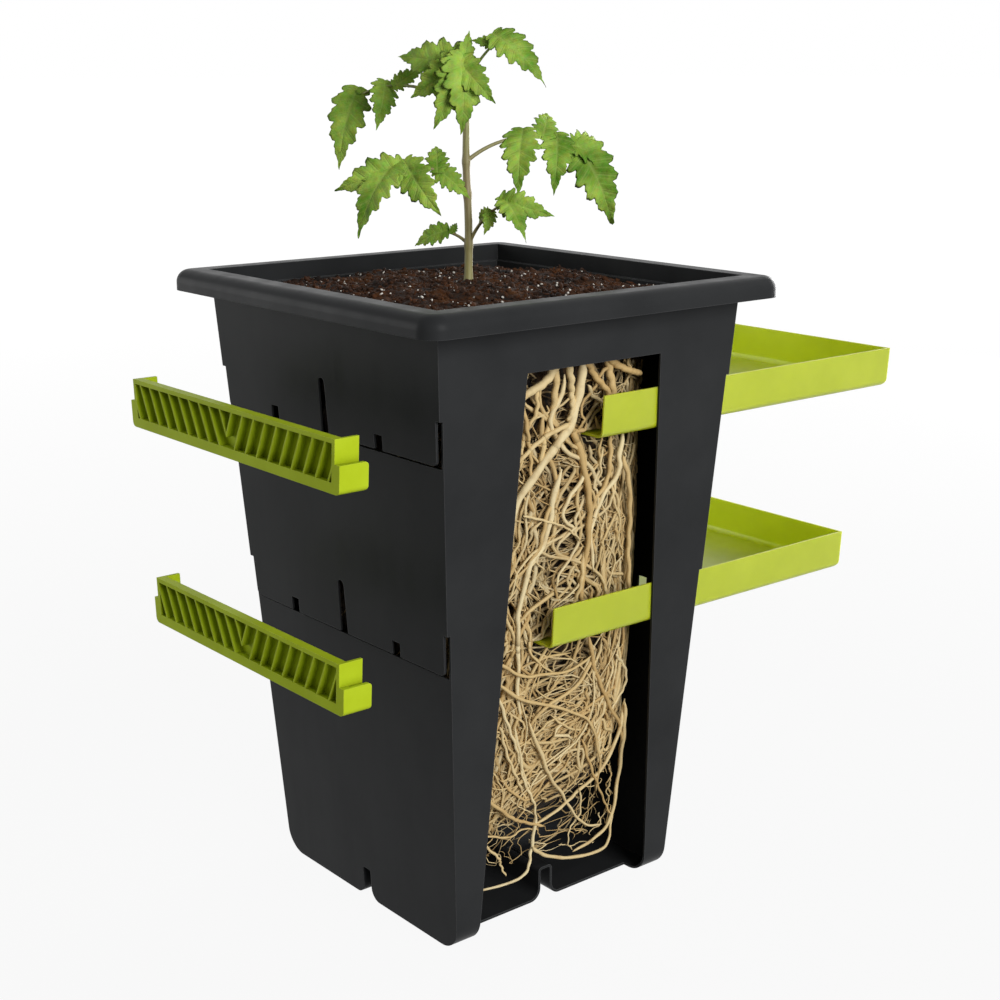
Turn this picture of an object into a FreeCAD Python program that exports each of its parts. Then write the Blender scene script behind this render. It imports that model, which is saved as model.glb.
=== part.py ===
import FreeCAD, Part
import math
import os

from FreeCAD import Vector

os.makedirs("parts", exist_ok=True)

# A tall square plant pot in three stacked tiers. Where one tier meets the next, the side walls hang as
# tongues in front of U-shaped slots, and a shallow tray slides through each pair of slots. A ribbed end
# cap closes each tray's open end. The pot is shown planted, with a window cut in its front wall.
# The origin is the centre of the base. +Z is up, -Y is the front with the window, +X is the way the trays
# pull out. All sizes are in millimetres.

# Pot
pot_height = 450.0
wall = 1.8
draft = 0.0625
front_half_at_base = 104.6
side_half_at_base = 99.3
tier_step = 2.6
base_edge_radius = 18.0

# Rim
rim_half = 154.0
rim_depth = 14.5
rim_shoulder = 9.0
rim_corner = 14.0
rim_wall = 2.0

# Slots between the tiers
upper_slot_height = 351.5
slot_pitch = 143.0
slit_height = 29.0
tongue_corner = 4.0
slide_gap = 0.35

# Cut-outs in the tongues
keyhole_width = 9.2
keyhole_top_width = 7.3
keyhole_height = 38.5
notch_width = 9.3
notch_height = 10.0
notch_offset = 61.5

# Drain channels under the base
channel_width = 9.2
channel_height = 23.2
channel_crown = 1.5
channel_flare = 9.0
drain_slot_width = 5.0
drain_slot_length = 24.0
drain_slot_offset = 55.0

# Window cut in the front wall
window_top = 403.0
window_top_half = 59.0
window_flare = 0.052
window_cut_y = -83.0

# Trays
tray_length = 301.0
tray_height = 29.6
tray_wall = 1.5
tray_floor = 1.6
tray_corner = 5.0
tray_end_radius = 6.0
upper_tray_start = 11.5
lower_tray_start = -23.5

# End caps
cap_plate = 6.5
cap_wall = 3.0
cap_top_above_tray = 0.8
cap_shoe_height = 18.4
cap_shoe_depth = 21.0
cap_shoe_corner = 4.0
cap_shoe_round = 2.5
cap_cheek = 2.5
cap_cheek_depth = 17.4
recess_depth = 5.0
recess_border = 3.0
recess_foot = 6.8
rib_count = 10
rib_pitch = 13.35
rib_first = 7.4
rib_lean = 0.48
rib_thickness = 1.5
upper_cap_front = -202.0
lower_cap_front = -197.0

# Soil and roots
soil_crown = 444.0
soil_sag = 8.0
soil_mound = 2.6
soil_mound_pitch = 96.0
soil_cells = 14
root_inset = 14.0
root_relief = 9.0
root_band = 4.0
root_squareness_top = 2.4
root_squareness_middle = 2.7
root_squareness_bottom = 3.2
root_sides = 32
root_gap = 0.3
root_taper_height = 70.0
root_tip_half = 42.0

# Seedling
stem_radius = 2.8
stem_top_radius = 1.3
stem_height = 150.0
stem_offset = -2.3
stem_lean = 6.0
stem_sway = 1.5
stem_sides = 12
stem_rings = 10
stalk_radius = 1.1
stalk_sides = 8
stalk_rings = 6
stalk_gap = 0.2
blade_thickness = 0.8
blade_width_share = 0.56
blade_stalk_share = 0.1
blade_lobes = 5
lobe_depth = 0.28
light = Vector(-0.55, -0.67, 0.5)
right_of_view = -39.6


# Outlines and prisms
def rounded_outline(corners, place):
    """Closed wire through (u, v, radius) corners, each radius a tangent arc; place maps (u, v) to space."""
    pts = [(float(u), float(v)) for u, v, r in corners]
    starts = []
    ends = []
    mids = []
    for i, (u, v, r) in enumerate(corners):
        pu, pv = pts[i - 1]
        nu, nv = pts[(i + 1) % len(pts)]
        a = math.hypot(pu - u, pv - v)
        b = math.hypot(nu - u, nv - v)
        au, av = (pu - u) / a, (pv - v) / a
        bu, bv = (nu - u) / b, (nv - v) / b
        if r <= 0:
            starts.append((u, v))
            ends.append((u, v))
            mids.append(None)
            continue
        half = math.acos(max(-1.0, min(1.0, au * bu + av * bv))) / 2
        reach = r / math.tan(half)
        cu, cv = au + bu, av + bv
        c = math.hypot(cu, cv)
        to_arc = r / math.sin(half) - r
        starts.append((u + au * reach, v + av * reach))
        ends.append((u + bu * reach, v + bv * reach))
        mids.append((u + cu / c * to_arc, v + cv / c * to_arc))
    edges = []
    for i in range(len(corners)):
        if mids[i] is not None:
            edges.append(Part.Arc(place(*starts[i]), place(*mids[i]), place(*ends[i])).toShape())
        here = place(*ends[i])
        there = place(*starts[(i + 1) % len(corners)])
        if here.distanceToPoint(there) > 1e-7:
            edges.append(Part.LineSegment(here, there).toShape())
    return Part.Wire(edges)


def prism_x(corners, x0, x1):
    """Outline in (y, z), pulled along X."""
    wire = rounded_outline(corners, lambda y, z: Vector(x0, y, z))
    return Part.Face(wire).extrude(Vector(x1 - x0, 0, 0))


def prism_y(corners, y0, y1):
    """Outline in (x, z), pulled along Y."""
    wire = rounded_outline(corners, lambda x, z: Vector(x, y0, z))
    return Part.Face(wire).extrude(Vector(0, y1 - y0, 0))


def prism_z(corners, z0, z1):
    """Outline in (x, y), pulled along Z."""
    wire = rounded_outline(corners, lambda x, y: Vector(x, y, z0))
    return Part.Face(wire).extrude(Vector(0, 0, z1 - z0))


def square(half, corner):
    """Corners of a rounded square about the origin."""
    return [(-half, -half, corner), (half, -half, corner), (half, half, corner), (-half, half, corner)]


def band(half_at, z0, z1, low_radius=0.0, high_radius=0.0):
    """Corners of a symmetric drafted band between two heights, half_at(z) wide each way."""
    low = half_at(z0)
    high = half_at(z1)
    return [(-low, z0, low_radius), (low, z0, low_radius), (high, z1, high_radius), (-high, z1, high_radius)]


def closed(polygons):
    """Solid bounded by flat polygons, each a list of points."""
    shell = Part.makeShell([Part.Face(Part.makePolygon(points + points[:1])) for points in polygons])
    shell.sewShape()
    solid = Part.Solid(shell)
    if solid.Volume < 0:
        solid.reverse()
    return solid


def save(shape, name):
    solid = shape.removeSplitter()
    if solid.ShapeType != "Solid" and len(solid.Solids) == 1:
        solid = solid.Solids[0]
    print(name, "solids", len(solid.Solids), "valid", solid.isValid(), "volume", round(solid.Volume, 1))
    solid.exportStep("parts/" + name + ".step")
    return solid


# Wall planes of the pot at a height
slot_lines = [upper_slot_height, upper_slot_height - slot_pitch]
step_lines = [z + slit_height for z in slot_lines]
far = 2 * rim_half + tray_length


def front_outer(z):
    return front_half_at_base + draft * z


def front_inner(z):
    return front_outer(z) - wall


def side_outer(tier, z):
    return side_half_at_base + tier_step * tier + draft * z


def side_inner(tier, z):
    return side_outer(tier, z) - wall


# Pot body: walls in three tiers
def stepped(side_at, bottom, top):
    """Right half of the side profile from the base up, tier by tier, then its mirror image."""
    low_step = step_lines[1]
    high_step = step_lines[0]
    right = [
        (side_at(0, bottom), bottom, 0),
        (side_at(0, low_step), low_step, 0),
        (side_at(1, low_step), low_step, 0),
        (side_at(1, high_step), high_step, 0),
        (side_at(2, high_step), high_step, 0),
        (side_at(2, top), top, 0),
    ]
    left = [(-x, z, r) for x, z, r in reversed(right)]
    return right + left


above = pot_height + rim_depth
outer_profile = band(front_outer, 0, pot_height, base_edge_radius)
outer_form = prism_y(stepped(side_outer, 0, pot_height), -far, far)
outer_form = outer_form.common(prism_x(outer_profile, -far, far))
inner_profile = band(front_inner, wall, above, base_edge_radius - wall)
inner_form = prism_y(stepped(side_inner, wall, above), -far, far)
inner_form = inner_form.common(prism_x(inner_profile, -far, far))

# Pot body: rolled rim, hollow underneath, on a collar that steps out once more above the top tier
rim_low = pot_height - rim_depth
mouth_half = front_inner(pot_height) + tier_step


def rim_block(half, corner, top, shoulder):
    block = prism_z(square(half, corner), rim_low, top)
    edges = [e for e in block.Edges if e.BoundBox.ZMin > top - 0.01]
    return block.makeFillet(shoulder, edges)


rim = rim_block(rim_half, rim_corner, pot_height, rim_shoulder)
rim_hollow = rim_block(rim_half - rim_wall, rim_corner - rim_wall, pot_height - rim_wall, rim_shoulder - rim_wall)
rim = rim.cut(rim_hollow)
collar = prism_z(square(mouth_half + wall, 0), rim_low, pot_height)
mouth = prism_z(square(mouth_half, 0), rim_low + wall, above)
pot = outer_form.fuse(collar).fuse(rim).cut(inner_form).cut(mouth)

# Pot body: drain channels crossing under the base, with the floor carried over them
half_channel = channel_width / 2
channel_reach = half_channel + 2 * channel_flare
channel_outline = [
    (-channel_reach, -wall, 0),
    (-channel_reach, 0, 0),
    (-half_channel, 0, channel_flare),
    (-half_channel, channel_height, channel_crown),
    (half_channel, channel_height, channel_crown),
    (half_channel, 0, channel_flare),
    (channel_reach, 0, 0),
    (channel_reach, -wall, 0),
]
half_ridge = half_channel + wall
ridge_top = channel_height + wall
ridge_outline = [
    (-channel_reach, wall / 2, 0),
    (-channel_reach, wall, 0),
    (-half_ridge, wall, channel_flare - wall),
    (-half_ridge, ridge_top, channel_crown + wall),
    (half_ridge, ridge_top, channel_crown + wall),
    (half_ridge, wall, channel_flare - wall),
    (channel_reach, wall, 0),
    (channel_reach, wall / 2, 0),
]
ridges = prism_x(ridge_outline, -far, far).fuse(prism_y(ridge_outline, -far, far)).common(outer_form)
pot = pot.fuse(ridges)
pot = pot.cut(prism_x(channel_outline, -far, far)).cut(prism_y(channel_outline, -far, far))
for turn in range(4):
    drain = prism_z(
        [
            (drain_slot_offset - drain_slot_length / 2, -drain_slot_width / 2, 0),
            (drain_slot_offset + drain_slot_length / 2, -drain_slot_width / 2, 0),
            (drain_slot_offset + drain_slot_length / 2, drain_slot_width / 2, 0),
            (drain_slot_offset - drain_slot_length / 2, drain_slot_width / 2, 0),
        ],
        channel_height - wall,
        ridge_top + wall,
    )
    drain.rotate(Vector(0, 0, 0), Vector(0, 0, 1), 90 * turn)
    pot = pot.cut(drain)


# Pot body: slots and hanging tongues on both sides
def tray_half(z):
    """Outer half width of a tray's side walls, which run along the front and back walls."""
    return front_inner(z) - slide_gap


def tongue_half(z):
    return tray_half(z) - tray_wall - slide_gap


def tray_base(slot):
    return slot - slide_gap - tray_floor


for level, slot in enumerate(slot_lines):
    step = step_lines[level]
    tier = 2 - level
    slot_low = tray_base(slot) - slide_gap
    gate = prism_x(band(front_inner, slot_low, step), -far, far)
    pot = pot.cut(gate)
    hang = step + wall
    tongue = prism_x(band(tongue_half, slot, hang, tongue_corner), -far, far)
    half_low = keyhole_width / 2
    half_high = keyhole_top_width / 2
    key_top = slot + keyhole_height
    keyhole = prism_x(
        [
            (-half_low, slot - wall, 0),
            (half_low, slot - wall, 0),
            (half_high, key_top, half_high * 0.9),
            (-half_high, key_top, half_high * 0.9),
        ],
        -far,
        far,
    )
    notches = []
    for side in (-1, 1):
        y0 = side * notch_offset - notch_width / 2
        y1 = side * notch_offset + notch_width / 2
        outline = [(y0, slot - wall, 0), (y1, slot - wall, 0), (y1, slot + notch_height, 0), (y0, slot + notch_height, 0)]
        notches.append(prism_x(outline, -far, far))
    for side in (-1, 1):
        slab = prism_y(
            [
                (side * side_inner(tier, slot - wall), slot - wall, 0),
                (side * side_outer(tier, slot - wall), slot - wall, 0),
                (side * side_outer(tier, hang), hang, 0),
                (side * side_inner(tier, hang), hang, 0),
            ],
            -far,
            far,
        )
        pot = pot.fuse(slab.common(tongue))
    for cutter in [keyhole] + notches:
        pot = pot.cut(cutter)

# Pot body: window through the front wall
window_low = -wall
window_low_half = window_top_half + window_flare * (window_top - window_low)
window = prism_y(
    [
        (-window_low_half, window_low, 0),
        (window_low_half, window_low, 0),
        (window_top_half, window_top, 0),
        (-window_top_half, window_top, 0),
    ],
    -far,
    window_cut_y,
)
pot = save(pot.cut(window), "pot_body")


# Trays: floor, two side walls and an outer end wall, open at the inner end
def make_tray(slot, start):
    z0 = tray_base(slot)
    z1 = z0 + tray_height
    end = start + tray_length
    outer = prism_x(band(tray_half, z0, z1, tray_corner), start, end)
    outer = outer.common(prism_y([(start, z0, 0), (end, z0, tray_end_radius), (end, z1, 0), (start, z1, 0)], -far, far))
    over = z1 + tray_floor
    before = start - tray_wall
    floor = z0 + tray_floor
    inner = prism_x(band(lambda z: tray_half(z) - tray_wall, floor, over, tray_corner - tray_wall), before, end)
    inside_end = end - tray_wall
    inner = inner.common(
        prism_y(
            [
                (before, floor, 0),
                (inside_end, floor, tray_end_radius - tray_wall),
                (inside_end, over, 0),
                (before, over, 0),
            ],
            -far,
            far,
        )
    )
    return outer.cut(inner)


save(make_tray(slot_lines[0], upper_tray_start), "upper_tray")
save(make_tray(slot_lines[1], lower_tray_start), "lower_tray")


# End caps: a ribbed face plate, a shoe that takes the tray's floor and cheeks that plug between its walls
def make_cap(slot, front):
    z0 = tray_base(slot)
    top = z0 + tray_height + cap_top_above_tray
    low = z0 - slide_gap - cap_wall
    shoe_top = low + cap_shoe_height
    plate_back = front + cap_plate

    def shoe_half(z):
        return tray_half(z) + slide_gap + cap_wall

    def plug_half(z):
        return tray_half(z) - tray_wall - slide_gap

    plate = prism_x(band(plug_half, low + cap_wall, top), front, plate_back)
    shoe = prism_x(band(shoe_half, low, shoe_top, cap_shoe_corner), front, front + cap_shoe_depth)
    side_view = [
        (front, low, 0),
        (front + cap_shoe_depth, low, cap_shoe_round),
        (front + cap_shoe_depth, shoe_top, cap_shoe_round),
        (front, shoe_top, 0),
    ]
    shoe = shoe.common(prism_y(side_view, -far, far))
    pocket = prism_x(band(lambda z: tray_half(z) + slide_gap, z0 - slide_gap, top, tray_corner), plate_back, 0)
    cap = plate.fuse(shoe.cut(pocket))
    cheek_low = z0 + tray_floor + slide_gap
    cheeks = prism_x(band(plug_half, cheek_low, top, tray_corner), plate_back - wall, front + cap_cheek_depth)
    room = prism_x(band(lambda z: plug_half(z) - cap_cheek, low, top + wall), front, 0)
    cap = cap.fuse(cheeks.cut(room))
    recess_low = low + recess_foot
    recess_top = top - recess_border
    cells = prism_x(band(lambda z: plug_half(z) - recess_border, recess_low, recess_top), front - wall, front + recess_depth)
    tall = recess_top - recess_low
    for side in (-1, 1):
        for i in range(rib_count):
            y_top = side * (rib_first + rib_pitch * i)
            y_low = y_top - side * rib_lean * tall
            half = rib_thickness / 2
            outline = [
                (y_low - half, recess_low, 0),
                (y_low + half, recess_low, 0),
                (y_top + half, recess_top, 0),
                (y_top - half, recess_top, 0),
            ]
            rib = prism_x(outline, front - 2 * wall, front + recess_depth + wall)
            if i == 0:
                keep = [(0, low, 0), (side * far, low, 0), (side * far, top, 0), (0, top, 0)]
                rib = rib.common(prism_x(keep, front - 2 * wall, front + recess_depth + wall))
            cells = cells.cut(rib)
    return cap.cut(cells)


save(make_cap(slot_lines[0], upper_cap_front), "upper_end_cap")
save(make_cap(slot_lines[1], lower_cap_front), "lower_end_cap")


# Soil: fills the mouth down to the window's top edge, higher in the middle, with low mounds round the stem
def soil_height(x, y):
    """Falls by soil_sag from the crown to the walls; the mounds are a product of two waves, fading at the stem."""
    out = math.hypot(x, y) / front_inner(soil_crown)
    wave_x = math.sin(2 * math.pi * (x + 0.3 * y) / soil_mound_pitch)
    wave_y = math.cos(2 * math.pi * (y - 0.2 * x) / soil_mound_pitch)
    fade = 1 - math.exp(-((out / 0.35) ** 4))
    return soil_crown - soil_sag * out**2 + soil_mound * fade * wave_x * wave_y


def soil_point(u, v, z=None):
    """Point at a share u, v of the way to the walls, on the soil's face unless a height is given."""
    if z is None:
        z = soil_height(u * side_inner(2, soil_crown), v * front_inner(soil_crown))
    return Vector(u * (side_inner(2, z) - root_gap), v * (front_inner(z) - root_gap), z)


shares = [2 * i / soil_cells - 1 for i in range(soil_cells + 1)]
flats = []
for u0, u1 in zip(shares[:-1], shares[1:]):
    for v0, v1 in zip(shares[:-1], shares[1:]):
        flats.append([soil_point(u0, v0), soil_point(u1, v0), soil_point(u1, v1)])
        flats.append([soil_point(u0, v0), soil_point(u1, v1), soil_point(u0, v1)])
for end in (-1, 1):
    feet = [soil_point(end, 1, window_top), soil_point(end, -1, window_top)]
    flats.append([soil_point(end, v) for v in shares] + feet)
    feet = [soil_point(1, end, window_top), soil_point(-1, end, window_top)]
    flats.append([soil_point(u, end) for u in shares] + feet)
flats.append([soil_point(u, v, window_top) for u, v in ((-1, -1), (1, -1), (1, 1), (-1, 1))])
save(closed(flats), "soil")


# Roots: a packed core with the main roots standing out of it, parted where the trays' floors pass
def root_half(z):
    return front_inner(z) - root_inset


def root_plug(levels, squareness):
    """Faceted plug through rounded squares: |x / half|^n + |y / half|^n = 1, with n the squareness."""
    power = 2 / squareness
    rings = []
    for z, half in levels:
        points = []
        for i in range(root_sides):
            turn = 2 * math.pi * (i + 0.5) / root_sides
            x = math.copysign(half * abs(math.cos(turn)) ** power, math.cos(turn))
            y = math.copysign(half * abs(math.sin(turn)) ** power, math.sin(turn))
            points.append(Vector(x, y, z))
        rings.append(points)
    flats = [rings[0], rings[-1]]
    for low, high in zip(rings[:-1], rings[1:]):
        for i in range(root_sides):
            flats.append([low[i - 1], low[i], high[i], high[i - 1]])
    return closed(flats)


def main_root(route):
    """Band along a route of (x, z) points, as wide as a main root with the side roots that cling to it."""
    run_x = route[-1][0] - route[0][0]
    run_z = route[-1][1] - route[0][1]
    run = math.hypot(run_x, run_z)
    aside_x = root_band * run_z / run
    aside_z = root_band * run_x / run
    left = [(x + aside_x, z - aside_z, 0) for x, z in route]
    right = [(x - aside_x, z + aside_z, 0) for x, z in route]
    return prism_y(left + right[::-1], -far, far)


main_roots = [
    main_root([(2, 410), (-6, 359), (-44, 318), (-58, 270)]),
    main_root([(-18, 410), (-62, 372)]),
    main_root([(6, 410), (36, 360), (44, 318), (22, 276)]),
    main_root([(25, 410), (66, 386)]),
    main_root([(-5, 340), (16, 300), (14, 240), (18, 190)]),
    main_root([(48, 340), (61, 278), (63, 200)]),
    main_root([(-12, 340), (-18, 293), (-42, 236), (-38, 150)]),
    main_root([(-62, 203), (-18, 183), (28, 187)]),
    main_root([(-62, 190), (-16, 160), (28, 135), (42, 76)]),
    main_root([(22, 206), (50, 140), (72, 84)]),
    main_root([(-60, 185), (-36, 124), (-20, 62)]),
    main_root([(70, 130), (42, 91), (-20, 68)]),
    main_root([(-30, 150), (6, 84), (46, 48)]),
    main_root([(-66, 103), (-32, 74), (5, 40)]),
]


def root_ball(levels, squareness):
    face = root_plug(levels, squareness)
    ball = root_plug([(z, half - root_relief) for z, half in levels], squareness)
    for root in main_roots:
        ball = ball.fuse(face.common(root))
    return ball


top_floor = tray_base(slot_lines[0])
low_floor = tray_base(slot_lines[1])
top_low = top_floor + tray_floor + root_gap
mid_top = top_floor - root_gap
mid_low = low_floor + tray_floor + root_gap
end_top = low_floor - root_gap
end_low = ridge_top + root_gap
top_levels = [(top_low, root_half(top_low)), (window_top, root_half(window_top))]
save(root_ball(top_levels, root_squareness_top), "root_ball_top")
middle_levels = [(mid_low, root_half(mid_low)), (mid_top, root_half(mid_top))]
save(root_ball(middle_levels, root_squareness_middle), "root_ball_middle")
low_levels = [(end_low, root_tip_half), (root_taper_height, root_half(root_taper_height)), (end_top, root_half(end_top))]
save(root_ball(low_levels, root_squareness_bottom), "root_ball_bottom")


# Stem: a tapered shoot that sways a little and leans over at its tip
view_right = Vector(math.cos(math.radians(right_of_view)), math.sin(math.radians(right_of_view)), 0)
up = Vector(0, 0, 1)


def ring(centre, across, upward, radius, sides):
    """Regular polygon about a centre, in the plane of two square directions."""
    points = []
    for i in range(sides):
        turn = 2 * math.pi * i / sides
        points.append(centre + across * (radius * math.cos(turn)) + upward * (radius * math.sin(turn)))
    return Part.makePolygon(points + points[:1])


def stem_at(rise):
    """Centre and radius of the stem, rise above the soil."""
    t = rise / stem_height
    offset = stem_offset - stem_lean * t**4 + stem_sway * math.sin(3 * math.pi * t) * t
    radius = stem_radius + (stem_top_radius - stem_radius) * t**3
    return view_right * offset + up * (soil_crown + rise), radius


def make_stem(extra):
    rings = []
    for i in range(stem_rings + 1):
        centre, radius = stem_at(stem_height * i / stem_rings)
        rings.append(ring(centre, view_right, up.cross(view_right), radius + extra, stem_sides))
    return Part.makeLoft(rings, True, True)


save(make_stem(0), "stem")
stem_clear = make_stem(stalk_gap)


# Leaves: an arched stalk with toothed leaflets that turn their faces to the light
def leaflet(base, along, length):
    """Flat toothed blade on a short stalk: half width W sin(pi t^0.6), cut back by lobe_depth between teeth."""
    normal = light - along * light.dot(along)
    normal.normalize()
    across = normal.cross(along)
    half = length * blade_width_share / 2
    start = length * blade_stalk_share
    right = [(0, stalk_radius * 0.7), (start, stalk_radius * 0.7)]
    steps = 2 * blade_lobes
    for i in range(1, steps):
        t = i / steps
        reach = half * math.sin(math.pi * t**0.6)
        tooth = 1.0 if i % 2 else 1.0 - lobe_depth
        right.append((start + (length - start) * t, max(reach * tooth, stalk_radius)))
    left = [(u, -v) for u, v in reversed(right)]
    low = base - normal * (blade_thickness / 2)
    points = [low + along * u + across * v for u, v in right + [(length, 0)] + left]
    face = Part.Face(Part.makePolygon(points + points[:1]))
    return face.extrude(normal * blade_thickness)


def make_leaf(rise, heading, lift, sag, reach, leaflets):
    """Stalk from the stem, rise above the soil, bending from lift to sag degrees; (t, yaw, pitch, length) leaflets.

    heading is the stalk's direction in plan, in degrees from the right of the photograph's view; a positive yaw
    turns a leaflet towards the light.
    """
    out = math.radians(right_of_view + heading)
    forward = Vector(math.cos(out), math.sin(out), 0)
    sideways = up.cross(forward)
    lit = 1 if sideways.dot(light) > 0 else -1
    start, stem_r = stem_at(rise)
    first = math.radians(lift)
    last = math.radians(sag)
    radius = reach / (first - last)

    def stalk_at(t):
        angle = first + (last - first) * t
        run = radius * (math.sin(first) - math.sin(angle))
        climb = radius * (math.cos(angle) - math.cos(first))
        return start + forward * run + up * climb

    rings = []
    for i in range(stalk_rings + 1):
        t = i / stalk_rings
        angle = first + (last - first) * t
        upward = up * math.cos(angle) - forward * math.sin(angle)
        rings.append(ring(stalk_at(t), sideways, upward, stalk_radius, stalk_sides))
    leaf = Part.makeLoft(rings, True, True)
    for t, yaw, pitch, length in leaflets:
        turn = out + lit * math.radians(yaw)
        tilt = math.radians(pitch)
        along = Vector(math.cos(turn) * math.cos(tilt), math.sin(turn) * math.cos(tilt), math.sin(tilt))
        leaf = leaf.fuse(leaflet(stalk_at(t), along, length))
    return leaf.cut(stem_clear)


leaves = {
    "leaf_low_left": make_leaf(25, 148, 42, 3, 21, [(1, 10, -22, 27), (0.8, -90, 40, 10)]),
    "leaf_low_right": make_leaf(25, -32, 66, 24, 44, [
        (1, 25, -42, 34), (1, -20, -14, 34), (0.66, 90, -62, 16), (0.66, -150, -25, 20)]),
    "leaf_middle_left": make_leaf(60, 214, 49, -16, 66, [
        (1, 5, -52, 50), (0.95, -35, -18, 44), (0.8, 115, -52, 39), (0.42, 140, -40, 27), (0.45, -120, 40, 26),
        (0.8, -90, 30, 10)]),
    "leaf_middle_right": make_leaf(82, 22, 38, -31, 92, [
        (1, 10, -62, 57), (0.95, -25, -12, 41), (0.78, 115, -50, 43), (0.5, 120, -52, 45), (0.66, -60, 32, 33),
        (0.5, -90, 25, 11)]),
    "leaf_upper_left": make_leaf(115, 146, 35, -24, 101, [
        (1, 60, -72, 51), (0.74, 110, -60, 32), (0.62, -140, 30, 22), (0.8, -100, 30, 12), (0.95, -40, 25, 12)]),
    "leaf_upper_right": make_leaf(128, -18, 74, 36, 43, [(1, 5, -38, 44), (0.92, 165, 8, 16)]),
    "leaf_crown": make_leaf(142, -100, 60, 20, 9, [
        (1, 25, -78, 46), (1, -50, -66, 46), (0.8, 70, -42, 36), (0.7, -85, -32, 40), (0.4, -105, 10, 50),
        (0.5, 100, 75, 24)]),
}
for name, leaf in leaves.items():
    save(leaf, name)
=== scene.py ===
import math

import bpy
import numpy as np
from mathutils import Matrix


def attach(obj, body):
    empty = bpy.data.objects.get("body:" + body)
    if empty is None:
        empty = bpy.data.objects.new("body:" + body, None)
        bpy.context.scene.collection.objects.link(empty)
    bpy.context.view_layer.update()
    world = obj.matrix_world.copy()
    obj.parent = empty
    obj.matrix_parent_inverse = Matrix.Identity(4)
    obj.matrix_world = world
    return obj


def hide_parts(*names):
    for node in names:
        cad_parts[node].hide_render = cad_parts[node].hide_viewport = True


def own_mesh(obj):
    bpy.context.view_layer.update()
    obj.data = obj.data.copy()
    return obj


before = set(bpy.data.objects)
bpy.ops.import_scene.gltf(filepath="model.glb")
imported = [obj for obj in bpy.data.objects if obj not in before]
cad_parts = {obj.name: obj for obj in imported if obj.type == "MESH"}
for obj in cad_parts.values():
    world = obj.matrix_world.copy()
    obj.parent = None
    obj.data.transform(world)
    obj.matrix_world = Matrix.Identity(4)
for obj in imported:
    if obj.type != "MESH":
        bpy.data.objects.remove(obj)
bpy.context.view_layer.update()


# Pot body. One moulding in black polypropylene, with its three tiers, rolled rim and raised floor in one shot.
# The mould leaves a satin skin with a fine grain and a faint mottle, and the edges are painted paler: partly the rub
# of handling, partly a painted highlight where they catch the light.
def tint(code):
    """Linear colour of an sRGB hex code: ((c + 0.055) / 1.055)^2.4, or c / 12.92 below 0.04045."""
    c = np.array([int(code[i:i + 2], 16) for i in (0, 2, 4)]) / 255
    linear = np.where(c > 0.04045, ((c + 0.055) / 1.055) ** 2.4, c / 12.92)
    return (*linear.tolist(), 1.0)


def feed(node, inputs):
    """Gives each named input of a shader node a plain value or the output socket that feeds it."""
    for name, value in inputs.items():
        if isinstance(value, bpy.types.NodeSocket):
            node.id_data.links.new(value, node.inputs[name])
        else:
            node.inputs[name].default_value = value


def put(tree, kind, inputs=None, **settings):
    """A new shader node with its settings and inputs."""
    made = tree.nodes.new("ShaderNode" + kind)
    for name, value in settings.items():
        setattr(made, name, value)
    feed(made, inputs or {})
    return made


def noise(tree, place, scale, detail, roughness=0.5):
    """Value of a noise texture at a place."""
    return put(tree, "TexNoise", {"Vector": place, "Scale": scale, "Detail": detail,
                                  "Roughness": roughness}).outputs["Fac"]


def ranged(tree, value, low, high, to_low=0.0, to_high=1.0):
    """Value moved from the range low to high on to the range to_low to to_high, and held inside it."""
    return put(tree, "MapRange", {"Value": value, "From Min": low, "From Max": high,
                                  "To Min": to_low, "To Max": to_high}).outputs["Result"]


def reckon(tree, operation, *numbers):
    """Result of a Math node's operation on values or sockets."""
    return put(tree, "Math", dict(enumerate(numbers)), operation=operation).outputs["Value"]


def mixed(tree, share, first, second, blend="MIX"):
    """Colour between first and second by a share, or second blended over first in another way."""
    return put(tree, "MixRGB", {"Fac": share, "Color1": first, "Color2": second}, blend_type=blend).outputs["Color"]


def bumped(tree, height, strength, depth, **under):
    """Normal of a bump that is depth metres high at height 1, over the plain face or the Normal given."""
    return put(tree, "Bump", {"Height": height, "Strength": strength, "Distance": depth, **under}).outputs["Normal"]


def blank_finish(name):
    """A new material: returns it, its tree, its Principled shader and the place on the object as a socket."""
    finish = bpy.data.materials.new(name)
    finish.use_nodes = True
    tree = finish.node_tree
    return finish, tree, tree.nodes["Principled BSDF"], put(tree, "TexCoord").outputs["Object"]


def new_effect(name, takes, gives):
    """A shader node group with named sockets: returns its tree, its inputs and its output node."""
    tree = bpy.data.node_groups.new(name, "ShaderNodeTree")
    for title, kind, value in takes:
        socket = tree.interface.new_socket(title, in_out="INPUT", socket_type="NodeSocket" + kind)
        if value is not None:
            socket.default_value = value
    for title, kind in gives:
        tree.interface.new_socket(title, in_out="OUTPUT", socket_type="NodeSocket" + kind)
    return tree, tree.nodes.new("NodeGroupInput").outputs, tree.nodes.new("NodeGroupOutput")


skin, given, result = new_effect(
    "moulded_skin",
    [("Position", "Vector", None), ("Mottle Scale", "Float", 16.0), ("Grain Scale", "Float", 1200.0)],
    [("Mottle", "Float"), ("Rub", "Float"), ("Grain", "Float")],
)
drawn = put(skin, "Mapping", {"Vector": given["Position"], "Scale": (70.0, 70.0, 5.0)}).outputs["Vector"]
feed(result, {"Mottle": noise(skin, given["Position"], given["Mottle Scale"], 4.0, 0.55),
              "Rub": noise(skin, drawn, 1.0, 5.0, 0.6),
              "Grain": noise(skin, given["Position"], given["Grain Scale"], 2.0)})

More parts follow.
